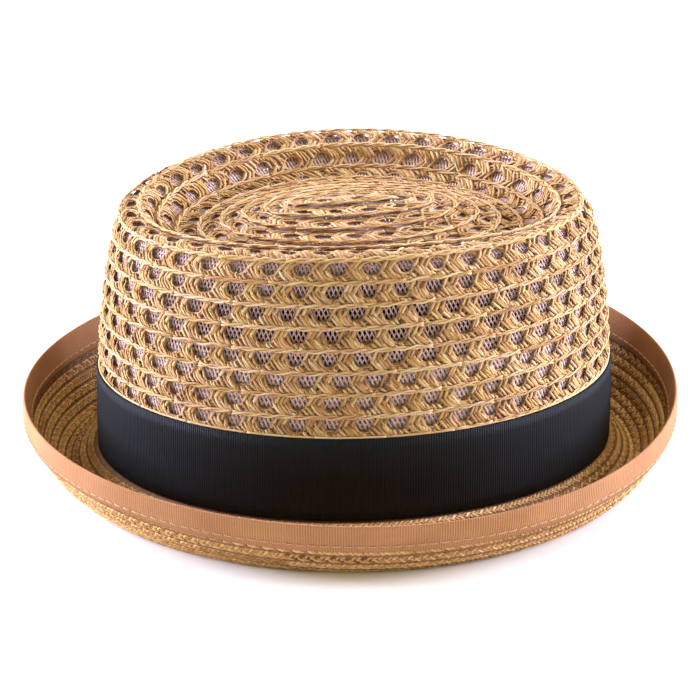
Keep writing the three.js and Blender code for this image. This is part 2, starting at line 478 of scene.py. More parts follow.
def rings_of(x: np.ndarray, y: np.ndarray, z: np.ndarray) -> np.ndarray:
    """Rings of places from their three coordinates."""
    return np.stack(np.broadcast_arrays(x, y, z), axis=-1)


def run_lengths(places: np.ndarray, axis: int = 0) -> np.ndarray:
    """How far each place lies along its line, from the line's first.

    Args:
        places: The places, with their coordinates on the last axis.
        axis: The axis along which a line runs.

    Returns:
        The lengths, with as many as there are places.
    """
    steps = np.linalg.norm(np.diff(places, axis=axis), axis=-1)
    first = np.zeros_like(np.take(steps, [0], axis=axis))
    return np.concatenate((first, np.cumsum(steps, axis=axis)), axis=axis)


def smooth_through(points: np.ndarray, per_span: int) -> np.ndarray:
    """An even Catmull-Rom curve through points.

    Args:
        points: The points, one a row.
        per_span: Samples from each point to the next.

    Returns:
        The samples, with the last point at their end.
    """
    padded = np.vstack((2 * points[0] - points[1], points, 2 * points[-1] - points[-2]))
    steps = np.arange(per_span)[:, None] / per_span
    spans = []
    for before, start, end, after in zip(padded, padded[1:], padded[2:], padded[3:]):
        spans.append(
            0.5
            * (
                2 * start
                + (end - before) * steps
                + (2 * before - 5 * start + 4 * end - after) * steps**2
                + (3 * start - before - 3 * end + after) * steps**3
            )
        )
    return np.vstack((*spans, points[-1:]))


class RowSurface:
    """A ring-shaped skin that is read by row number and angle.

    Near the middle seam its rings close up, so the normals there lean a little upwards.
    """

    STEPS = 12
    SEAM_STEPS = 6
    SEAM_LEAN = (0.0, 0.0, 0.02)

    def __init__(self, rings: np.ndarray, rows: np.ndarray) -> None:
        """Samples the skin at even rows.

        Args:
            rings: Places in millimetres by ring, spoke and axis; the last spoke is the first.
            rows: The row number of each ring on each spoke.
        """
        self.last_row = float(rows[-1].min())
        wanted = np.arange(0, self.last_row + 0.5 / self.STEPS, 1 / self.STEPS)
        self.grid = np.empty((len(wanted), rings.shape[1], 3))
        for spoke in range(rings.shape[1]):
            for axis in range(3):
                self.grid[:, spoke, axis] = np.interp(
                    wanted, rows[:, spoke], rings[:, spoke, axis]
                )
        outward = np.gradient(self.grid, axis=0)
        ring = self.grid[:, :-1]
        around = (np.roll(ring, -1, axis=1) - np.roll(ring, 1, axis=1)) / 2
        around = np.concatenate((around, around[:, :1]), axis=1)
        raw = np.cross(outward, around)
        raw[: self.SEAM_STEPS] += np.array(self.SEAM_LEAN)
        self.normals = unit(raw)

    def read(self, rows: np.ndarray, angles: np.ndarray) -> tuple[np.ndarray, np.ndarray]:
        """Reads the skin, where a row below zero is the other side of the middle seam.

        Args:
            rows: Row numbers.
            angles: Angles in radians.

        Returns:
            Places in millimetres, and outward normals.
        """
        rows, angles = np.broadcast_arrays(rows, angles)
        angles = np.where(rows < 0, -angles, angles) % TURN / TURN * SPOKES
        steps = np.clip(np.abs(rows) * self.STEPS, 0, len(self.grid) - 1.001)
        low, spoke = np.floor(steps).astype(int), np.floor(angles).astype(int) % SPOKES
        up, turn = (steps - low)[..., None], (angles - np.floor(angles))[..., None]
        found = []
        for table in (self.grid, self.normals):
            near = table[low, spoke] * (1 - turn) + table[low, spoke + 1] * turn
            far = table[low + 1, spoke] * (1 - turn) + table[low + 1, spoke + 1] * turn
            found.append(near * (1 - up) + far * up)
        return found[0], unit(found[1])

    def lifted(self, rows: np.ndarray, angles: np.ndarray, lift: Any) -> np.ndarray:
        """Places that stand off the skin by lift, in millimetres."""
        places, normals = self.read(rows, angles)
        return places + normals * np.asarray(lift)[..., None]


@dataclass(frozen=True)
class CrownLevel:
    """One level of the crown, as shares of its foot's size and of its rise."""

    long: float
    short: float
    end_rise: float
    side_rise: float


@dataclass(frozen=True)
class CrownShape:
    """The crown's outer skin, from the seam of its tip down to its foot."""

    long_half: float = 102.2
    short_half: float = 83.1
    top_height: float = 112.2
    foot_height: float = 8.2
    shift: Place = (1.9, 2.3, 0.0)
    turn: float = math.radians(8)
    ridge_row: float = 8.65
    band_row: float = 16.65
    foot_row: float = 20.45
    ridge_level: float = 8.88
    band_level: float = 13.0
    levels: tuple[CrownLevel, ...] = (
        CrownLevel(0.18, 0.0, 0.966, 0.969),
        CrownLevel(0.21, 0.036, 0.958, 0.965),
        CrownLevel(0.40, 0.29, 0.918, 0.92),
        CrownLevel(0.56, 0.48, 0.868, 0.888),
        CrownLevel(0.655, 0.61, 0.845, 0.88),
        CrownLevel(0.71, 0.69, 0.86, 0.9),
        CrownLevel(0.757, 0.748, 0.905, 0.96),
        CrownLevel(0.805, 0.81, 0.945, 0.995),
        CrownLevel(0.856, 0.876, 0.953, 1.0),
        CrownLevel(0.893, 0.911, 0.935, 0.972),
        CrownLevel(0.918, 0.926, 0.88, 0.92),
        CrownLevel(0.943, 0.945, 0.78, 0.8),
        CrownLevel(0.978, 0.978, 0.57, 0.58),
        CrownLevel(0.995, 0.997, 0.3202, 0.3202),
        CrownLevel(1.0, 1.0, 0.0, 0.0),
    )
    per_span: int = 16

    @property
    def girth(self) -> float:
        """The way round the crown's foot."""
        return math.pi * (self.long_half + self.short_half)

    def placed(self, points: np.ndarray, share: Any = 1.0) -> np.ndarray:
        """Turns and shifts points as the crown lies on the brim.

        Args:
            points: Places in millimetres.
            share: How much of the turn and shift each point takes.

        Returns:
            The moved places.
        """
        share = np.broadcast_to(share, points.shape[:-1])
        cos, sin = np.cos(self.turn * share), np.sin(self.turn * share)
        x, y, z = np.moveaxis(points, -1, 0)
        turned = np.stack((x * cos - y * sin, x * sin + y * cos, z), axis=-1)
        return turned + np.array(self.shift) * share[..., None]

    def skin(self) -> RowSurface:
        """The outer skin with its rows: to the ridge's cord, down to the band, to the foot."""
        rise = self.top_height - self.foot_height
        table = np.array(
            [
                (
                    level.long * self.long_half,
                    self.foot_height + level.end_rise * rise,
                    level.short * self.short_half,
                    self.foot_height + level.side_rise * rise,
                )
                for level in self.levels
            ]
        )
        curve = smooth_through(table, self.per_span)
        angles = np.linspace(0, TURN, SPOKES + 1)
        cos, sin = np.cos(angles), np.sin(angles)
        end_x, end_z, side_y, side_z = (column[:, None] for column in curve.T)
        height = side_z + (end_z - side_z) * cos**2
        rings = rings_of(end_x * cos, side_y * sin, height)
        arc = run_lengths(rings)
        knots = [round(x * self.per_span) for x in (0, self.ridge_level, self.band_level)] + [-1]
        known = (0.0, self.ridge_row, self.band_row, self.foot_row)
        rows = np.stack(
            [np.interp(arc[:, i], arc[knots, i], known) for i in range(SPOKES + 1)], axis=1
        )
        return RowSurface(self.placed(rings), rows)


@dataclass(frozen=True)
class BrimLevel:
    """One level of the brim, as shares of the way to the rim and of its two heights."""

    long: float
    short: float
    break_share: float
    rim_share: float


@dataclass(frozen=True)
class BrimShape:
    """The brim's underside, from the head's edge out and up to the rim.

    It stops bulk short of the rim, which leaves room for the binding. The crown's turn and
    shift have faded out where a level's long and short shares add up to placed_to.
    """

    crown: CrownShape
    rim_long_half: float = 131.0
    rim_short_half: float = 119.4
    rim_height: float = 31.1
    rise_to_back: float = 6.4
    rise_to_end: float = 1.6
    twist: float = 1.7
    front_dip: float = 1.9
    break_height: float = 7.9
    wall: float = 2.0
    crown_wall: float = 1.8
    bulk: float = 0.15
    placed_to: float = 1.8
    row_width: float = 4.5
    per_span: int = 16
    levels: tuple[BrimLevel, ...] = (
        BrimLevel(0.0, 0.0, 1.0, 0.0),
        BrimLevel(0.11, 0.09, 1.0, 0.0),
        BrimLevel(0.27, 0.4, 0.4, 0.0),
        BrimLevel(0.4, 0.64, 0.0, 0.0),
        BrimLevel(0.49, 0.73, 0.0, 0.0),
        BrimLevel(0.64, 0.79, 0.0, 0.12),
        BrimLevel(0.78, 0.84, 0.0, 0.3),
        BrimLevel(0.955, 0.905, 0.0, 0.66),
        BrimLevel(1.0, 1.0, 0.0, 1.0),
    )

    @property
    def rim_girth(self) -> float:
        """The way round the rim."""
        return math.pi * (self.rim_long_half + self.rim_short_half)

    def rim(self, angles: np.ndarray) -> np.ndarray:
        """The rim's height, which is highest at the back and dips at the front."""
        sin, cos = np.sin(angles), np.cos(angles)
        rim = self.rim_height + self.rise_to_back * sin + self.rise_to_end * cos
        rim = rim + self.twist * np.sin(2 * angles)
        return rim - self.front_dip * (0.5 - 0.5 * sin) ** 3

    def skin(self) -> RowSurface:
        """The underside with its rows, whose normals point up and inwards."""
        table = np.array([astuple(level) for level in self.levels])
        curve = smooth_through(table, self.per_span)
        long, short, break_share, rim_share = (column[:, None] for column in curve.T)
        angles = np.linspace(0, TURN, SPOKES + 1)
        cos, sin = np.cos(angles), np.sin(angles)
        head_long = self.crown.long_half - self.crown_wall
        head_short = self.crown.short_half - self.crown_wall
        x = head_long + (self.rim_long_half - self.bulk - head_long) * long
        y = head_short + (self.rim_short_half - self.bulk - head_short) * short
        z = break_share * (self.break_height - self.wall)
        z = z + rim_share * (self.rim(angles) - self.bulk)
        rings = rings_of(x * cos, y * sin, z)
        rings = self.crown.placed(rings, np.clip(1 - (long + short) / self.placed_to, 0, 1))
        arc = run_lengths(rings)
        count = round(float(arc[-1].mean()) / self.row_width)
        return RowSurface(rings, arc / arc[-1] * count)


class RowSpiral:
    """A strip sewn round and round a skin, read by how far along and across it one is."""

    FRONT = 0.65
    MIDDLE = 0.5

    def __init__(self, skin: RowSurface, width: float, first: float, last: float) -> None:
        """Measures the strip along its middle line.

        Args:
            skin: What it is sewn on.
            width: A row's width in millimetres, for what is drawn across the strip.
            first: The turns at which it starts.
            last: The turns at which it ends.
        """
        self.width = width
        self.turns = np.linspace(first, last, int((last - first) * SPOKES * 2))
        places, _ = skin.read(self.turns - self.MIDDLE, self.angle(self.turns))
        self.lengths = run_lengths(places)
        self.length = float(self.lengths[-1])

    def angle(self, turns: np.ndarray) -> np.ndarray:
        """The angle after a number of turns, clockwise, with FRONT at the front."""
        return 0.75 * TURN - (turns - self.FRONT) * TURN

    def place(self, along: np.ndarray, across: np.ndarray) -> tuple[np.ndarray, np.ndarray]:
        """The row and angle of a point of the strip.

        Args:
            along: Millimetres along the strip.
            across: Millimetres in from its outer edge.

        Returns:
            Row numbers and angles.
        """
        turns = np.interp(along, self.lengths, self.turns)
        return turns - across / self.width, self.angle(turns)


@dataclass
class Straws:
    """A batch of straws with as many points each, flat or round in section."""

    FLAT: ClassVar = ((1.0, -0.5), (0.0, 1.0), (-1.0, -0.5))
    ROUND: ClassVar = ((1.0, 0.0), (0.0, 1.0), (-1.0, 0.0), (0.0, -1.0))

    centres: np.ndarray
    normals: np.ndarray
    half_width: Any
    half_depth: Any
    tones: np.ndarray
    sides: int = 3
    # How far under the weave each point lies, from 0 to 1, for the painted shade of the straw's
    # material.
    sunk: Any = 0.0

    def corners(self) -> tuple[np.ndarray, np.ndarray]:
        """The section's corners at each point.

        Returns:
            Places by straw, point, corner and axis, and how far across each corner is.
        """
        shape = self.centres.shape[:2]
        width = np.broadcast_to(self.half_width, shape)[..., None]
        depth = np.broadcast_to(self.half_depth, shape)[..., None]
        travel = unit(np.gradient(self.centres, axis=1))
        across = unit(np.cross(self.normals, travel))
        up = np.cross(travel, across)
        section = self.FLAT if self.sides == len(self.FLAT) else self.ROUND
        found = [self.centres + across * width * a + up * depth * n for a, n in section]
        return np.stack(found, axis=2), np.array([a for a, _ in section])


class StrawMesh:
    """Joins batches of straws into one mesh with their words and a map for baking.

    GAP is the room kept round a straw on the map, SLACK how much wider the map is than the
    straws need, RUNG_GAP the share of the gap between shelves, CAP_BOW the share of it that
    the end caps take, and APART how far apart the grain of neighbours is read.
    """

    GAP = 0.6
    SLACK = 1.02
    APART = 7.3
    RUNG_GAP = 0.3
    CAP_BOW = 0.5

    def __init__(self) -> None:
        """Starts with no straws."""
        self.batches: list[Straws] = []

    def add(self, batch: Straws) -> None:
        """Adds a batch, if it holds any straw."""
        if len(batch.centres):
            self.batches.append(batch)

    def _shelves(self, lengths: np.ndarray, girth: float) -> tuple[np.ndarray, np.ndarray, float]:
        """Sets straws out on the shelves of a square map.

        Args:
            lengths: Each straw's length with its gap.
            girth: The height of a shelf.

        Returns:
            Each straw's start, its shelf, and the square's side.
        """
        side = math.sqrt(float(lengths.sum()) * girth) * self.SLACK + float(lengths.max())
        ends = np.cumsum(lengths)
        starts, shelves = np.empty(len(lengths)), np.empty(len(lengths))
        shelf, taken = 0, 0.0
        for i, end in enumerate(ends):
            if end - taken > side:
                shelf, taken = shelf + 1, end - lengths[i]
            starts[i], shelves[i] = end - lengths[i] - taken, shelf
        return starts, shelves, max(side, (shelf + 1) * girth)

    def build(self, name: str) -> bpy.types.Object:
        """Makes the object.

        Args:
            name: Its name.

        Returns:
            The object, with no material yet.
        """
        runs, sizes = [], []
        for batch in self.batches:
            run = run_lengths(batch.centres, axis=1)
            runs.append(run)
            sizes.append(run[:, -1] + 2 * self.GAP)
        girth = 2 * 2 * float(np.mean(self.batches[0].half_width)) + self.GAP
        starts, shelves, side = self._shelves(np.concatenate(sizes), girth)
        parts: list[tuple[np.ndarray, ...]] = []
        first_vertex, first_straw = 0, 0
        sunk = []
        for batch, run in zip(self.batches, runs):
            count = len(run)
            shape = (*run.shape, batch.sides)
            # How far under the weave each straw lies, carried for the painted shade.
            hidden = np.broadcast_to(np.atleast_2d(batch.sunk)[..., None], shape).reshape(-1, 1)
            sunk.append(np.repeat(hidden, 3, axis=1))
            straws = slice(first_straw, first_straw + count)
            parts.append(
                self._faces(batch, run, starts[straws], shelves[straws], girth, first_vertex)
            )
            first_vertex += len(parts[-1][0])
            first_straw += count
        places, words, loops, sizes_of_faces, spots = (
            np.concatenate(group) for group in zip(*parts)
        )
        carried = {STRAND_WORDS: words, UNDER_SHADE_WORDS: np.concatenate(sunk)}
        return make_object(name, places, loops, sizes_of_faces, carried, spots / side)

    def _faces(
        self,
        batch: Straws,
        run: np.ndarray,
        starts: np.ndarray,
        shelves: np.ndarray,
        girth: float,
        first: int,
    ) -> tuple[np.ndarray, ...]:
        """Lays the faces of one batch.

        Args:
            batch: The straws.
            run: How far along each point is.
            starts: Each straw's start on its shelf.
            shelves: Each straw's shelf.
            girth: The height of a shelf.
            first: The number of the first vertex.

        Returns:
            Places, words, the faces' vertices, their corner counts and their map places.
        """
        places, across = batch.corners()
        count, points, sides = places.shape[:3]
        number = first + np.arange(count * points * sides).reshape(count, points, sides)
        shape = (count, points, sides)
        words = np.stack(
            (
                np.broadcast_to((run + starts[:, None] * self.APART)[..., None], shape),
                np.broadcast_to(across, shape),
                np.broadcast_to(batch.tones[:, None, None], shape),
            ),
            axis=-1,
        )
        following = np.roll(number, -1, axis=2)
        quads = np.stack(
            (number[:, :-1], following[:, :-1], following[:, 1:], number[:, 1:]), axis=-1
        )
        u = (starts + self.GAP)[:, None] + run
        rung = np.arange(sides + 1) * ((girth - self.RUNG_GAP * self.GAP) / sides)
        low = shelves[:, None] * girth + rung[:-1]
        high = shelves[:, None] * girth + rung[1:]
        u = np.broadcast_to(u[..., None], shape)
        low = np.broadcast_to(low[:, None], shape)
        high = np.broadcast_to(high[:, None], shape)
        here = np.stack((u, low), axis=-1)
        there = np.stack((u, high), axis=-1)
        spots = np.stack((here[:, :-1], there[:, :-1], there[:, 1:], here[:, 1:]), axis=-2)
        start_cap, end_cap = number[:, 0, ::-1], number[:, -1]
        bowed = (np.arange(sides) + 1) // 2 % 2 == 1
        bow = np.where(bowed, self.GAP * self.CAP_BOW, 0.0)
        start_spots = here[:, 0] - np.stack((bow, np.zeros(sides)), axis=-1)
        end_spots = here[:, -1] + np.stack((bow, np.zeros(sides)), axis=-1)
        loops = np.concatenate((quads.ravel(), start_cap.ravel(), end_cap.ravel()))
        corner_counts = np.concatenate(
            (np.full(quads.size // 4, 4), np.full(2 * count, sides))
        )
        spots = np.concatenate(
            (
                spots.reshape(-1, 2),
                start_spots[:, ::-1].reshape(-1, 2),
                end_spots.reshape(-1, 2),
            )
        )
        return places.reshape(-1, 3), words.reshape(-1, 3), loops, corner_counts, spots


def make_object(
    name: str,
    places: np.ndarray,
    loops: np.ndarray,
    corner_counts: np.ndarray,
    words: dict[str, np.ndarray] | None = None,
    spots: np.ndarray | None = None,
) -> bpy.types.Object:
    """Makes a smooth mesh object.

    Args:
        name: Its name.
        places: Its vertices in millimetres.
        loops: The vertices of its faces, one face after another.
        corner_counts: How many corners each face has.
        words: Three numbers for each vertex, by attribute name.
        spots: Each corner's place on the map for baking.

    Returns:
        The object, linked to the scene.
    """
    mesh = bpy.data.meshes.new(name)
    mesh.vertices.add(len(places))
    mesh.vertices.foreach_set("co", (places * MM).astype(np.float32).ravel())
    mesh.loops.add(len(loops))
    mesh.loops.foreach_set("vertex_index", loops.astype(np.int32))
    mesh.polygons.add(len(corner_counts))
    starts = np.concatenate(([0], np.cumsum(corner_counts)[:-1]))
    mesh.polygons.foreach_set("loop_start", starts.astype(np.int32))
    mesh.update(calc_edges=True)
    for key, values in (words or {}).items():
        layer = mesh.attributes.new(key, "FLOAT_VECTOR", "POINT")
        layer.data.foreach_set("vector", values.astype(np.float32).ravel())
    if spots is not None:
        layer = mesh.uv_layers.new(name=BAKE_MAP)
        layer.uv.foreach_set("vector", spots.astype(np.float32).ravel())
    mesh.shade_smooth()
    made = bpy.data.objects.new(name, mesh)
    bpy.context.scene.collection.objects.link(made)
    return made


def ring_object(
    name: str, sections: np.ndarray, words: np.ndarray | None = None
) -> bpy.types.Object:
    """Makes a hoop from closed sections, whose first and last lie in one place.

    Args:
        name: Its name.
        sections: Places by section, corner and axis, in millimetres.
        words: Three numbers for each corner, for a ribbon.

    Returns:
        The object.
    """
    if words is None:
        sections = sections[:-1]
    count, corners = sections.shape[:2]
    number = np.arange(count * corners).reshape(count, corners)
    beside = np.roll(number, -1, axis=1)
    if words is None:
        ahead, beside_ahead = np.roll(number, -1, axis=0), np.roll(beside, -1, axis=0)
        quads = np.stack((number, beside, beside_ahead, ahead), axis=-1)
    else:
        quads = np.stack((number[:-1], beside[:-1], beside[1:], number[1:]), axis=-1)
    carried = {} if words is None else {RIBBON_WORDS: words.reshape(-1, 3)}
    loops = quads.reshape(-1)
    return make_object(
        name, sections.reshape(-1, 3), loops, np.full(len(loops) // 4, 4), carried
    )


def ribs_round(
    girth: float, pitch: float, rise: float
) -> tuple[np.ndarray, np.ndarray, np.ndarray]:
    """Sets out a hoop of ribbon with a section on each rib and one between.

    Args:
        girth: The way round.
        pitch: From one rib to the next.
        rise: How far a rib stands up, and a gap lies down.

    Returns:
        The sections' angles, how far each stands up, and how far along each lies.
    """
    columns = 2 * int(girth / pitch)
    angles = np.linspace(0, TURN, columns + 1)[:, None]
    ribs = rise * (1 - 2 * (np.arange(columns + 1) % 2))[:, None]
    return angles, ribs, np.linspace(0, girth, columns + 1)


def ribbon_words(along: np.ndarray, across: np.ndarray) -> np.ndarray:
    """What a ribbon's material reads at each section and corner."""
    return np.stack(np.broadcast_arrays(along[:, None], across[None, :], 0.0), axis=-1)


def dress(
    piece: bpy.types.Object, material: bpy.types.Material, slot: str, *nodes: str
) -> None:
    """Gives a piece its material and body, and hides the CAD nodes that it stands for.

    Args:
        piece: The piece.
        material: Its material.
        slot: Not used.
        nodes: The CAD nodes that it replaces.
    """
    piece.data.materials.append(material)
    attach(piece, BODY)
    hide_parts(*nodes)
    LOG.info("%s: %d faces", piece.name, len(piece.data.polygons))


# The crown


class CrownPart(Enum):
    """The stretches of the crown's strip, by the row at which each ends."""

    TIP = 6.05
    RIDGE = 9.95
    WALL_UPPER = 13.25
    WALL_LOWER = 19.0


@dataclass(frozen=True)
class LoopSizes:
    """The bands of straws that swing from edge to edge of the strip.

    Towards the crown's middle they are drawn in, which closes the openings, and lie flatter.
    """

    foot: float = 1.2
    arch: float = 10.3
    squareness: float = 1.9
    lean: float = -0.1
    straws: int = 3
    tight: float = 0.75
    spread: float = 1.75
    half: float = 0.74
    narrowing: float = 0.16
    depth: float = 0.2
    weave: float = 0.44
    apex: float = 5.2
    turn_over: float = 0.9
    twill: float = 0.6
    twill_start: float = 0.25
    fan: float = 0.12
    closing: float = 3.3
    closing_dip: float = 1.3
    closing_bend: float = 0.7
    closed_row: float = 11.5
    tip_press: float = 0.75
    woven_from: float = 0.3
    woven_to: float = 0.7
    woven_points: int = 7
    plain_points: int = 4
    stray: float = 0.2
    sways: Span = (0.1, 0.5)
    sway_turns: float = 1.5
    widths: Span = (0.8, 1.14)
    tones: Span = (2.2, 2.0)


@dataclass(frozen=True)
class LegSizes:
    """The short slanting straws over the lower half of the strip, nine round each bridge."""

    places: tuple[float, ...] = (5.9, 4.5, 3.1, 1.65, 0.2, -1.2, -2.7, -4.1, -5.5)
    tops: tuple[float, ...] = (2.4, 3.1, 4.9, 5.3, 5.2, 4.8, 3.2, 2.4, 2.25)
    foot: float = 0.8
    reach: float = 3.8
    bend: float = 1.15
    depth: float = 0.2
    shares: tuple[float, ...] = (0.0, 0.3, 0.7, 1.0)
    details: tuple[float, ...] = (0.06, 0.5, 0.44, 0.1)
    taper: tuple[float, ...] = (0.8, 1.0, 1.0, 0.8)
    place_stray: float = 0.26
    top_stray: float = 0.42
    detail_stray: float = 0.06
    reaches: Span = (0.75, 1.2)
    halves: Span = (0.5, 0.7)
    tones: Span = (2.0, 1.9)


@dataclass(frozen=True)
class CordSizes:
    """The two thin straws twisted round each other along the strip's outer edge."""

    twist: float = 12.6
    cells: int = 2
    points_a_cell: int = 8
    across: float = 0.2
    sweep: float = 0.5
    stray: float = 0.07
    detail: float = 0.62
    rise: float = 0.26
    half: float = 0.46
    depth: float = 0.34
    tones: Span = (3.2, 1.4)


@dataclass(frozen=True)
class EdgeCordSizes:
    """The thin cord that shows along the top edge of the band."""

    runs: int = 24
    points: int = 17
    above_band: float = 0.06
    lift: float = 0.1
    half: float = 0.5
    depth: float = 0.45
    tones: Span = (4.0, 1.3)


@dataclass
class LaceCrown:
    """The crown's strip of openwork braid, sewn in a spiral from the tip to the band.

    Every length is in millimetres. A cell is one pitch of the strip, from one crossing of the
    bands to the next, with an opening between them.
    """

    shape: CrownShape
    pitch: float = 12.6
    row_width: float = 8.75
    depth: float = -0.9
    tilt: float = 0.5
    tilt_width: float = 1.15
    press_before: float = 0.12
    press_rate: float = 12.0
    press_share: float = 0.62
    press_sink: float = 0.25
    under_shade_from: float = 0.35
    first_turn: float = 0.4
    last_turn: float = 17.75
    hidden_row: float = 17.05
    loop: LoopSizes = LoopSizes()
    leg: LegSizes = LegSizes()
    cord: CordSizes = CordSizes()
    edge: EdgeCordSizes = EdgeCordSizes()
    rng: np.random.Generator = field(default_factory=lambda: np.random.default_rng(11))

    def __post_init__(self) -> None:
        """Lays the spiral on the crown's skin."""
        self.skin = self.shape.skin()
        self.spiral = RowSpiral(self.skin, self.row_width, self.first_turn, self.last_turn)
        self.cells = 2 * (int(self.spiral.length // (2 * self.pitch)) - 1)

    def lift(self, rows: np.ndarray, across: np.ndarray, detail: np.ndarray) -> np.ndarray:
        """How far a point of the strip stands off the skin, less where the band presses it.

        Args:
            rows: Its row.
            across: Millimetres in from the strip's outer edge.
            detail: Its own lift in the braid.

        Returns:
            The lift in millimetres.
        """
        lean = self.tilt * (1 - 2 * across / (self.row_width * self.tilt_width))
        past = rows - self.shape.band_row + self.press_before
        pressed = np.clip(past * self.press_rate, 0, 1)
        kept = 1 - self.press_share * pressed
        return self.depth + (lean + detail) * kept - self.press_sink * pressed

    def batch(
        self,
        along: np.ndarray,
        across: np.ndarray,
        detail: np.ndarray,
        half_width: Any,
        half_depth: float,
        tones: np.ndarray,
        sides: int = 3,
    ) -> dict[CrownPart, Straws]:
        """Places straws of the strip on the crown and deals them to its parts.

        Args:
            along: Millimetres along the strip, by straw and point.
            across: Millimetres in from its outer edge.
            detail: Lift in the braid.
            half_width: Half the straw's width.
            half_depth: Half its thickness.
            tones: Each straw's shade.
            sides: The corners of its section.

        Returns:
            A batch for each part.
        """
        rows, angles = self.spiral.place(along, across)
        places, normals = self.skin.read(rows, angles)
        centres = places + normals * self.lift(rows, across, detail)[..., None]
        width = np.broadcast_to(half_width, along.shape)
        # How far under the weave a point lies, for the painted shade where straws pass under
        # others.
        sunk = np.clip(self.under_shade_from - detail / (2 * self.loop.weave), 0, 1)
        sunk = np.broadcast_to(sunk, along.shape)
        seen = rows.min(axis=1) < self.hidden_row
        where = rows[:, rows.shape[1] // 2]
        dealt, start = {}, -math.inf
        for part in CrownPart:
            mine = seen & (where >= start) & (where < part.value)
            dealt[part] = Straws(
                centres[mine],
                normals[mine],
                width[mine],
                half_depth,
                tones[mine],
                sides,
                sunk[mine],
            )
            start = part.value
        return dealt

    def swing(self) -> tuple[np.ndarray, np.ndarray, int]:
        """One swing of a band, from the inner edge to the outer one and back.

        Returns:
            How far along its points lie, how near the outer edge each is from 0 to 1, and
            which point lies halfway back, where two bands cross.
        """
        size = self.loop
        half = np.concatenate(
            (
                np.linspace(0, size.woven_from, size.plain_points)[:-1],
                np.linspace(size.woven_from, size.woven_to, size.woven_points),
                np.linspace(size.woven_to, 1, size.plain_points)[1:],
            )
        )
        t = np.concatenate((-half[::-1], half[1:])) * self.pitch
        bend = np.tanh(size.squareness * (np.cos(np.pi * t / self.pitch) + size.lean))
        low = (bend - bend.min()) / (bend.max() - bend.min())
        return t, low, len(t) // 2 + int(np.argmin(np.abs(half - 0.5)))

    def loops(self) -> dict[CrownPart, Straws]:
        """The two bands of straws that swing from edge to edge and are woven where they meet."""
        size = self.loop
        t, low, crossing = self.swing()
        turn = np.pi * t / self.pitch
        centre = size.arch + (size.foot - size.arch) * low
        slope = np.gradient(centre, t)
        stretch = np.sqrt(1 + slope**2)
        gap = size.tight + (size.spread - size.tight) * np.sin(turn) ** 2
        order = np.arange(size.straws) - (size.straws - 1) / 2
        starts = (np.arange(self.cells) + 1.5) * self.pitch
        shape = (len(starts), size.straws, len(t))
        one_each = (*shape[:2], 1)

        turns = np.interp(starts, self.spiral.lengths, self.spiral.turns)
        tip = np.clip(1 - turns / size.closed_row, 0, 1)[:, None, None] ** size.closing_bend
        centre = centre - tip * size.closing * (1 - size.closing_dip * low)

        stray = self.rng.normal(0, size.stray, one_each)
        wave = self.rng.uniform(0, TURN, one_each)
        sway = self.rng.uniform(*size.sways, one_each) * np.sin(size.sway_turns * turn + wave)
        offset = (order[None, :, None] + stray) * gap + sway * np.sin(turn) ** 2
        step = t - offset * slope / stretch
        across = centre + offset / stretch

        cell = size.spread * stretch[crossing] / slope[crossing]
        phase = (step - np.sign(t) * self.pitch / 2) / cell + size.twill_start
        over = np.tanh((size.apex - across) / size.turn_over)
        over = np.clip(over + size.twill * np.cos(np.pi * phase), -1, 1)
        detail = size.weave * (1 - size.tip_press * tip) * np.sin(turn) * over
        detail = detail - size.fan * order[None, :, None] * np.cos(turn)

        scale = self.rng.uniform(*size.widths, one_each)
        narrow = (1 - size.narrowing) + size.narrowing * np.sin(turn) ** 2
        width = size.half * scale * narrow
        tones = self.rng.beta(*size.tones, shape[:2])
        flat = (-1, len(t))
        return self.batch(
            (starts[:, None, None] + step).reshape(flat),
            across.reshape(flat),
            detail.reshape(flat),
            width.reshape(flat),
            size.depth,
            tones.ravel(),
        )

    def legs(self) -> dict[CrownPart, Straws]:
        """The short slanting straws that lie over the lower half of the strip."""
        size = self.leg
        bridges = (np.arange(self.cells) + 1.0) * self.pitch
        starts = (bridges[:, None] + np.array(size.places)).ravel()
        starts = starts + self.rng.normal(0, size.place_stray, starts.size)
        one_each = (len(starts), 1)
        top = np.tile(size.tops, len(bridges))[:, None]
        reach = size.reach * self.rng.uniform(*size.reaches, one_each) * top / max(size.tops)
        top = top + self.rng.normal(0, size.top_stray, one_each)
        share = np.array(size.shares)
        along = starts[:, None] - reach * share**size.bend
        across = top + (size.foot - top) * share
        detail = np.array(size.details) + self.rng.normal(0, size.detail_stray, one_each)
        half = self.rng.uniform(*size.halves, one_each) * np.array(size.taper)
        tones = self.rng.beta(*size.tones, len(starts))
        return self.batch(along, across, detail, half, size.depth, tones)

    def cords(self) -> list[dict[CrownPart, Straws]]:
        """The two thin straws twisted round each other along the strip's outer edge."""
        size = self.cord
        t = np.linspace(0, self.pitch * size.cells, size.points_a_cell * size.cells + 1)
        starts = (np.arange(self.cells // size.cells) * size.cells + 0.5) * self.pitch
        along = starts[:, None] + t
        found = []
        for phase in (0.0, math.pi):
            turn = along / size.twist * TURN + phase
            stray = self.rng.normal(0, size.stray, along.shape)
            across = size.across + size.sweep * np.cos(turn) + stray
            detail = size.detail + size.rise * np.sin(turn)
            tones = self.rng.beta(*size.tones, len(starts))
            found.append(self.batch(along, across, detail, size.half, size.depth, tones, 4))
        return found

    def edge_cord(self) -> Straws:
        """The thin cord that shows along the top edge of the band."""
        size = self.edge
        turns = np.linspace(0, TURN, size.runs + 1)
        angles = turns[:-1, None] + np.linspace(0, turns[1], size.points)
        rows = np.full(angles.shape, self.shape.band_row - size.above_band)
        places, normals = self.skin.read(rows, angles)
        centres = places + normals * size.lift
        tones = self.rng.beta(*size.tones, size.runs)
        return Straws(centres, normals, size.half, size.depth, tones, 4)

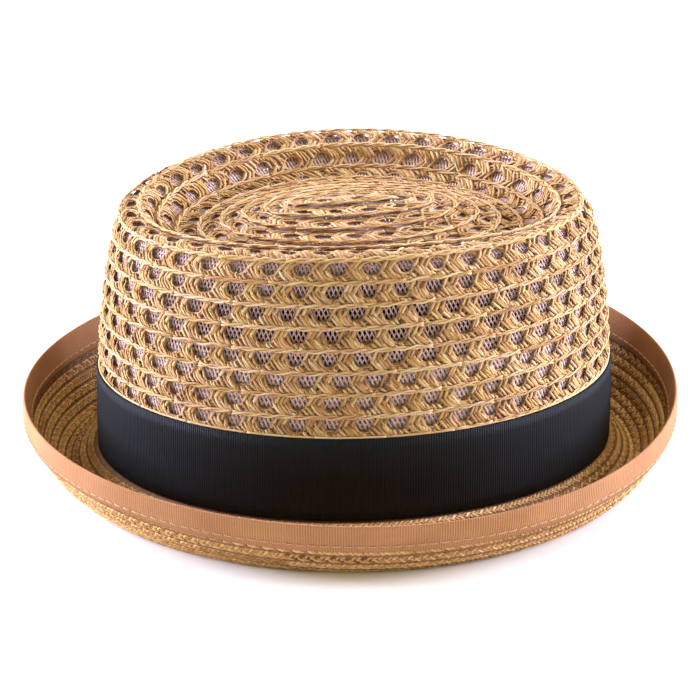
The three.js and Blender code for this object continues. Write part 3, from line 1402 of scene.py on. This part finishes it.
    def build(self, material: bpy.types.Material) -> None:
        """Makes the crown's pieces and dresses them.

        Args:
            material: The straw.
        """
        batches = [self.loops(), self.legs(), *self.cords()]
        for part in CrownPart:
            mesh = StrawMesh()
            for batch in batches:
                mesh.add(batch[part])
            if part is CrownPart.WALL_LOWER:
                mesh.add(self.edge_cord())
            piece = mesh.build(f"crown_lace_{part.name.lower()}")
            dress(piece, material, "lace_straw", "crown")


@dataclass
class CrownCollar:
    """The tight foot of the crown, under the band."""

    shape: CrownShape
    inner: float = -1.7
    outer: float = -0.3
    ridge: float = 0.35
    row_share: float = 0.5
    steps_a_row: int = 4
    below_edge: float = 0.15
    columns: int = 120

    def build(self, material: bpy.types.Material) -> None:
        """Makes the collar as ridged rows and dresses it.

        Args:
            material: The core straw.
        """
        skin = self.shape.skin()
        first = self.shape.band_row + self.below_edge
        rows = np.arange(first, self.shape.foot_row, self.row_share / self.steps_a_row)
        wave = 0.5 - 0.5 * np.cos(TURN * rows / self.row_share)
        angles = np.linspace(0, TURN, self.columns + 1)[:, None]
        outside = skin.lifted(rows, angles, self.outer - self.ridge * (1 - wave))
        inside = skin.lifted(rows[::-1], angles, (self.inner + self.ridge * (1 - wave))[::-1])
        piece = ring_object("crown_collar", np.concatenate((outside, inside), axis=1)[:, ::-1])
        dress(piece, material, "lace_straw", "crown")


@dataclass
class NetLining:
    """The fine net that lines the crown: two families of flat threads that cross."""

    shape: CrownShape
    lift: float = -2.4
    thread_halves: tuple[float, float] = (0.35, 0.28)
    thread_depth: float = 0.22
    apart: float = 0.1
    gather: float = 1.15
    swell_rows: tuple[float, ...] = (4.5, 6.0, 9.0, 10.2, 12.0, 14.0)
    swells: tuple[float, ...] = (1.0, 1.5, 1.5, 1.0, 1.0, 1.8)
    pitch: float = 1.6
    slant: float = math.radians(66)
    row_width: float = 8.75
    zones: tuple[tuple[float, float, int], ...] = ((0.3, 2.2, 2), (2.2, 17.5, 1))
    step: float = 0.8

    def family(self, skin: RowSurface, low: float, high: float, every: int, lean: int) -> Straws:
        """One family of threads between two rows.

        Args:
            skin: The crown's skin.
            low: The first row.
            high: The last row.
            every: How many threads of the wall there are to one here.
            lean: Which way they lean, 1 or -1.

        Returns:
            The threads.
        """
        rows = np.linspace(low, high, max(int((high - low) / self.step), 3) + 1)
        girth = self.shape.girth
        count = int(girth * math.sin(self.slant) / self.pitch) // every
        drift = lean * rows * self.row_width / math.tan(self.slant) / girth * TURN
        angles = np.arange(count)[:, None] * (TURN / count) + drift
        places, normals = skin.read(rows, angles)
        places = places + normals * (self.lift + self.apart * lean)
        swell = np.interp(rows, self.swell_rows, self.swells)
        half = np.broadcast_to(self.thread_halves[lean < 0] * swell, (count, len(rows)))
        return Straws(places, normals, half, self.thread_depth, np.full(count, 0.5))

    def build(self, material: bpy.types.Material) -> None:
        """Makes the net and dresses it.

        Args:
            material: The thread.
        """
        skin = self.shape.skin()
        mesh = StrawMesh()
        for low, high, every in self.zones:
            for lean in (1, -1):
                mesh.add(self.family(skin, low, high, every, lean))
        piece = mesh.build("crown_net")
        dress(piece, material, "lining_net", "crown_lining")


# The brim


class BrimFace(Enum):
    """The two faces of the brim."""

    UNDER = -1
    UPPER = 1


@dataclass
class BraidBrim:
    """The brim of tight straw braid: a core with crossing straws on both of its faces."""

    shape: BrimShape
    core_low: float = 0.6
    core_high: float = 1.4
    core_wave: float = 0.12
    core_step: float = 0.25
    core_columns: int = 180
    edge_half: float = 0.08
    edge_bend: float = 1.5
    edge_gap: float = 0.02
    zigzag: float = 5.7
    swing: float = 1.45
    straws: int = 3
    straw_half: float = 0.72
    straw_depth: float = 0.22
    cross_lift: float = 0.24
    rest_lift: float = 0.06
    off_core: float = 0.1
    under_shade_from: float = 0.3
    binding_width: float = 11.5
    periods: int = 6
    points: int = 5
    stray: float = 0.07
    widths: Span = (0.86, 1.14)
    tones: Span = (4.5, 4.5)
    rng: np.random.Generator = field(default_factory=lambda: np.random.default_rng(23))

    def __post_init__(self) -> None:
        """Lays the spiral on the brim's skin."""
        self.skin = self.shape.skin()
        self.last_row = self.skin.last_row - self.binding_width / self.shape.row_width + 0.5
        self.spiral = RowSpiral(self.skin, self.shape.row_width, 1.0, self.last_row + 1)

    def core(self, material: bpy.types.Material) -> None:
        """Makes the core, which shows in the gaps of the braid.

        Args:
            material: The core straw.
        """
        rows = np.arange(0, self.skin.last_row, self.core_step)
        rows[-1] = self.skin.last_row - self.edge_gap
        angles = np.linspace(0, TURN, self.core_columns + 1)[:, None]
        edge = (rows - self.last_row) / (self.skin.last_row - self.last_row)
        edge = np.clip(edge, 0, 1) ** self.edge_bend
        half = (self.core_high - self.core_low) / 2 - self.core_wave * np.cos(TURN * rows)
        half = half + (self.edge_half - half) * edge
        middle = (self.core_high + self.core_low) / 2
        under = self.skin.lifted(rows, angles, middle - half)
        upper = self.skin.lifted(rows[::-1], angles, (middle + half)[::-1])
        piece = ring_object("brim_core", np.concatenate((under, upper), axis=1)[:, ::-1])
        dress(piece, material, "brim_straw", "brim")

    def braid(self, face: BrimFace, material: bpy.types.Material) -> None:
        """Makes the straws on one face.

        Args:
            face: Which face.
            material: The straw.
        """
        length = self.zigzag * self.periods
        runs = int(self.spiral.length // length)
        points = self.points * self.periods + 1
        t = np.linspace(0, length, points)
        mesh = StrawMesh()
        for straw in range(self.straws):
            along = (np.arange(runs) * length)[:, None] + t
            turn = TURN * (t / self.zigzag + straw / self.straws)
            across = self.shape.row_width / 2 + self.swing * np.cos(turn)
            across = across + self.rng.normal(0, self.stray, along.shape)
            detail = self.cross_lift * np.sin(2 * turn) + self.rest_lift
            rows, angles = self.spiral.place(along, across)
            places, normals = self.skin.read(rows, angles)
            normals = normals * face.value
            core_face = self.core_high if face is BrimFace.UPPER else -self.core_low
            places = places + normals * (self.off_core + core_face + detail)[..., None]
            keep = (rows[:, points // 2] < self.last_row) & (rows.min(axis=1) > 0)
            scale = self.rng.uniform(*self.widths, (runs, 1))
            width = np.broadcast_to(self.straw_half * scale, along.shape)
            tones = self.rng.beta(*self.tones, runs)
            # How far under the weave a point lies, for the painted shade where straws pass under
            # others.
            sunk = np.clip(self.under_shade_from - detail / (2 * self.cross_lift), 0, 1)
            mesh.add(
                Straws(
                    places[keep],
                    normals[keep],
                    width[keep],
                    self.straw_depth,
                    tones[keep],
                    sunk=sunk,
                )
            )
        piece = mesh.build(f"brim_braid_{face.name.lower()}")
        dress(piece, material, "brim_straw", "brim")

    def build(self, straw: bpy.types.Material, core: bpy.types.Material) -> None:
        """Makes the brim's pieces.

        Args:
            straw: The straw.
            core: The core straw.
        """
        self.core(core)
        for face in BrimFace:
            self.braid(face, straw)


@dataclass
class HatBand:
    """The black ribbed ribbon round the foot of the crown."""

    shape: CrownShape
    width: float = 33.3
    inner: float = 0.35
    outer: float = 1.15
    bow: float = 0.18
    foot_gap: float = 0.02
    rib_pitch: float = 0.9
    rib_rise: float = 0.02
    rows_down: int = 9

    def build(self, material: bpy.types.Material) -> None:
        """Makes the band and dresses it.

        Args:
            material: The ribbon.
        """
        skin = self.shape.skin()
        girth = self.shape.girth
        angles, ribs, along = ribs_round(girth, self.rib_pitch, self.rib_rise)
        last = self.shape.foot_row - self.foot_gap
        rows = np.linspace(self.shape.band_row, last, self.rows_down)
        bow = self.bow * np.sin(np.linspace(0, np.pi, self.rows_down))
        outside = skin.lifted(rows, angles, self.outer + bow + ribs)
        inside = skin.lifted(rows[::-1], angles, np.full(self.rows_down, self.inner))
        sections = np.concatenate((outside, inside), axis=1)[:, ::-1]
        down = np.linspace(0, self.width, self.rows_down)
        across = np.concatenate((down, down[::-1]))[::-1]
        words = ribbon_words(along, across)
        piece = ring_object("hat_band_ribbon", sections, words)
        dress(piece, material, "band_ribbon", "hat_band")


@dataclass
class BrimBinding:
    """The ribbed ribbon folded over the brim's edge, with its line of stitches."""

    shape: BrimShape
    width: float = 12.0
    clearance: float = 0.12
    sink: float = 1.12
    thickness: float = 0.5
    rib_pitch: float = 0.95
    rib_rise: float = 0.07
    rows_across: int = 6
    fold_steps: int = 4
    edge_gap: float = 0.02
    edge_probe: float = 0.1
    stitch_back: float = 3.0
    stitch_length: float = 3.4
    stitch_gap: float = 0.9
    stitch_points: int = 7
    stitch_rise: float = 0.34
    stitch_sink: float = 0.14
    stitch_half: float = 0.36
    stitch_depth: float = 0.26

    def __post_init__(self) -> None:
        """Reads the brim's skin."""
        self.skin = self.shape.skin()

    def wrapped(self, rows: np.ndarray, angles: np.ndarray, offset: Any) -> np.ndarray:
        """A line that goes out under the brim, round its edge and back over it.

        Args:
            rows: Rows of the line's straight part, outwards.
            angles: Angles, one a section.
            offset: How far the line lies off the brim, before it sinks towards the edge.

        Returns:
            Places by section and point.
        """
        wall = self.shape.wall
        offset = offset - self.sink * np.linspace(0, 1, len(rows)) ** 2
        under = self.skin.lifted(rows, angles, -offset)
        upper = self.skin.lifted(rows[::-1], angles, wall + offset[:, ::-1])
        last = np.full((1,), rows[-1])
        places, normals = self.skin.read(last, angles)
        inner, _ = self.skin.read(last - self.edge_probe, angles)
        out = unit(places - inner)
        turn = np.linspace(0, np.pi, self.fold_steps + 2)[1:-1, None]
        radius = wall / 2 + offset[:, -1:]
        radius = np.repeat(radius, self.fold_steps, axis=1)[..., None]
        fold = (
            places
            + normals * (wall / 2 - radius * np.cos(turn))
            + out * radius * np.sin(turn)
        )
        return np.concatenate((under, fold, upper), axis=1)

    def build(self, ribbon: bpy.types.Material, thread: bpy.types.Material) -> None:
        """Makes the binding and its stitches and dresses them.

        Args:
            ribbon: The ribbon.
            thread: The stitches' thread.
        """
        girth = self.shape.rim_girth
        angles, ribs, along = ribs_round(girth, self.rib_pitch, self.rib_rise)
        end = self.skin.last_row - self.edge_gap
        start = end - self.width / self.shape.row_width
        rows = np.linspace(start, end, self.rows_across)
        outside = self.wrapped(rows, angles, self.clearance + self.thickness + ribs)
        inside = self.wrapped(rows, angles, np.full(angles.shape, self.clearance))
        sections = np.concatenate((outside, inside[:, ::-1]), axis=1)
        fold = math.pi * (self.shape.wall / 2 + self.clearance + self.thickness - self.sink)
        across = np.concatenate(
            (
                np.linspace(0, self.width, self.rows_across),
                self.width + np.linspace(0, fold, self.fold_steps + 2)[1:-1],
                np.linspace(self.width + fold, 2 * self.width + fold, self.rows_across),
            )
        )
        words = ribbon_words(along, np.concatenate((across, across[::-1])))
        piece = ring_object("brim_binding_ribbon", sections, words)
        dress(piece, ribbon, "binding_ribbon", "brim_binding")
        self.stitches(start + self.stitch_back / self.shape.row_width, girth, thread)

    def stitches(self, row: float, girth: float, thread: bpy.types.Material) -> None:
        """Makes the line of stitches on both faces of the binding.

        Args:
            row: The row on which they lie.
            girth: The length of the brim's edge.
            thread: Their material.
        """
        pitch = self.stitch_length + self.stitch_gap
        count = int(girth / pitch)
        t = np.linspace(0, 1, self.stitch_points)
        angles = (np.arange(count)[:, None] + t * self.stitch_length / pitch) * (TURN / count)
        arch = np.sin(np.pi * t) ** 0.5 * self.stitch_rise - self.stitch_sink
        sunk = self.sink * (self.stitch_back / self.width) ** 2
        tones = np.full(count, 0.5)
        half, depth = self.stitch_half, self.stitch_depth
        mesh = StrawMesh()
        for face in BrimFace:
            upper = face is BrimFace.UPPER
            shift = 0.5 * (TURN / count) * upper
            places, normals = self.skin.read(np.full(angles.shape, row), angles + shift)
            normals = normals * face.value
            off = self.shape.wall * upper + self.clearance + self.thickness - sunk + arch
            mesh.add(Straws(places + normals * off[:, None], normals, half, depth, tones, 4))
        piece = mesh.build("brim_binding_stitches")
        dress(piece, thread, "binding_ribbon", "brim_binding")


# The studio and the whole


@dataclass(frozen=True)
class Lamp:
    """A soft square lamp: its place and side in metres, its power and its colour."""

    name: str
    place: Place
    power: float
    colour: Colour
    side: float = 1.0


@dataclass
class Studio:
    """The floor, the lamps, the even light of the room and the camera."""

    COOL: ClassVar = (1.0, 1.07, 1.5)
    WARM: ClassVar = (1.0, 0.91, 0.66)

    target: Place = (0.0, 2.3, 43.3)
    distance: float = 1113.8
    elevation: float = math.radians(22.25)
    lens: float = 143.4
    sensor_width: float = 36.0
    clip_start: float = 0.05
    clip_end: float = 50.0
    floor_half: float = 6.0
    room_colour: Colour = (1.0, 0.91, 0.69)
    room_strength: float = 0.24
    lamps: tuple[Lamp, ...] = (
        Lamp("left", (-1.75, 0.42, 0.7), 80.0, COOL),
        Lamp("right", (1.75, 0.42, 0.7), 69.0, COOL),
        Lamp("left_low", (-1.6, -0.35, 0.35), 9.0, WARM),
        Lamp("right_low", (1.6, -0.35, 0.35), 11.5, WARM),
        Lamp("top", (0.2, 0.15, 1.9), 17.6, WARM, 1.5),
    )

    def floor(self, material: bpy.types.Material) -> None:
        """Lays the floor just under the hat.

        Args:
            material: The floor's finish.
        """
        half = self.floor_half / MM
        places = np.array(
            [(-half, -half, 0.0), (half, -half, 0.0), (half, half, 0.0), (-half, half, 0.0)]
        )
        made = make_object("floor", places, np.arange(4), np.array([4]))
        made.data.materials.append(material)

    def light(self, lamp: Lamp) -> None:
        """Hangs a lamp so that it faces the hat.

        Args:
            lamp: The lamp.
        """
        data = bpy.data.lights.new(lamp.name, "AREA")
        data.energy = lamp.power
        data.color = lamp.colour
        data.size = lamp.side
        hung = bpy.data.objects.new(lamp.name, data)
        hung.location = lamp.place
        aim = Vector(self.target) * MM - Vector(lamp.place)
        hung.rotation_euler = aim.to_track_quat("-Z", "Y").to_euler()
        bpy.context.scene.collection.objects.link(hung)

    def room(self) -> None:
        """Fills the room with even warm white light."""
        world = bpy.data.worlds.new("studio")
        world.use_nodes = True
        back = world.node_tree.nodes["Background"]
        back.inputs["Color"].default_value = (*self.room_colour, 1.0)
        back.inputs["Strength"].default_value = self.room_strength
        bpy.context.scene.world = world
        bpy.context.scene.view_settings.view_transform = "Standard"

    def camera(self) -> None:
        """Sets the camera where the photograph was taken from."""
        data = bpy.data.cameras.new("camera")
        data.lens = self.lens
        data.sensor_width = self.sensor_width
        data.clip_start, data.clip_end = self.clip_start, self.clip_end
        camera = bpy.data.objects.new("camera", data)
        ahead = Vector((0.0, math.cos(self.elevation), -math.sin(self.elevation)))
        camera.location = (Vector(self.target) - ahead * self.distance) * MM
        camera.rotation_euler = ahead.to_track_quat("-Z", "Y").to_euler()
        bpy.context.scene.collection.objects.link(camera)
        bpy.context.scene.camera = camera

    def build(self, material: bpy.types.Material) -> None:
        """Lays the floor, hangs the lamps, fills the room with light and sets the camera.

        Args:
            material: The floor's finish.
        """
        self.floor(material)
        for lamp in self.lamps:
            self.light(lamp)
        self.room()
        self.camera()


class Finishes:
    """The hat's materials, each made once."""

    def __init__(self) -> None:
        """Makes them."""
        self.lace_straw = StrawFinish(
            "lace_straw",
            dark=(0.34, 0.15, 0.048),
            middle=(0.55, 0.272, 0.09),
            light=(0.7, 0.42, 0.188),
            pale=(0.825, 0.592, 0.35),
            tint=(0.92, 0.98, 0.6),
        ).material()
        self.brim_straw = StrawFinish(
            "brim_straw",
            dark=(0.18, 0.07, 0.022),
            middle=(0.58, 0.3, 0.11),
            light=(0.93, 0.58, 0.26),
            pale=(0.98, 0.72, 0.43),
            tint=(0.96, 0.88, 0.58),
            painted_edge_shade=0.4,
            sheen=0.1,
        ).material()
        # The core is darker than the straws: partly the braid's own straw, partly painted shade in
        # the braid's gaps.
        self.core = CoreFinish(
            "straw_core", dark=(0.15, 0.062, 0.022), light=(0.4, 0.19, 0.08)
        ).material()
        self.net = NetFinish(
            "net_thread", dark=(0.58, 0.37, 0.315), light=(0.9, 0.68, 0.61)
        ).material()
        self.band = RibbonFinish(
            "band_ribbon",
            dark=(0.0013, 0.0015, 0.0016),
            light=(0.0072, 0.008, 0.0088),
            rib_pitch=HatBand.rib_pitch,
            warp_pitch=0.3,
            roughness=0.65,
            sheen=0.01,
            painted_rib_shade=0.2,
        ).material()
        self.binding = RibbonFinish(
            "binding_ribbon",
            dark=(0.235, 0.094, 0.036),
            light=(0.605, 0.292, 0.128),
            rib_pitch=BrimBinding.rib_pitch,
            warp_pitch=0.3,
            roughness=0.75,
            sheen=0.03,
            painted_rib_shade=0.46,
        ).material()
        self.thread = ThreadFinish(
            "stitch_thread", dark=(0.46, 0.23, 0.11), light=(0.74, 0.44, 0.235)
        ).material()
        self.floor = FloorFinish("studio_floor", (0.88, 0.87, 0.79)).material()


def main() -> None:
    """Builds the hat's pieces and the studio in order."""
    logging.basicConfig(level=logging.INFO, format="%(name)s: %(message)s")
    finishes = Finishes()
    crown = CrownShape()
    LaceCrown(crown).build(finishes.lace_straw)
    CrownCollar(crown).build(finishes.core)
    NetLining(crown).build(finishes.net)
    brim = BrimShape(crown)
    BraidBrim(brim).build(finishes.brim_straw, finishes.core)
    HatBand(crown).build(finishes.band)
    BrimBinding(brim).build(finishes.binding, finishes.thread)
    Studio().build(finishes.floor)


if __name__ == "__main__":
    main()
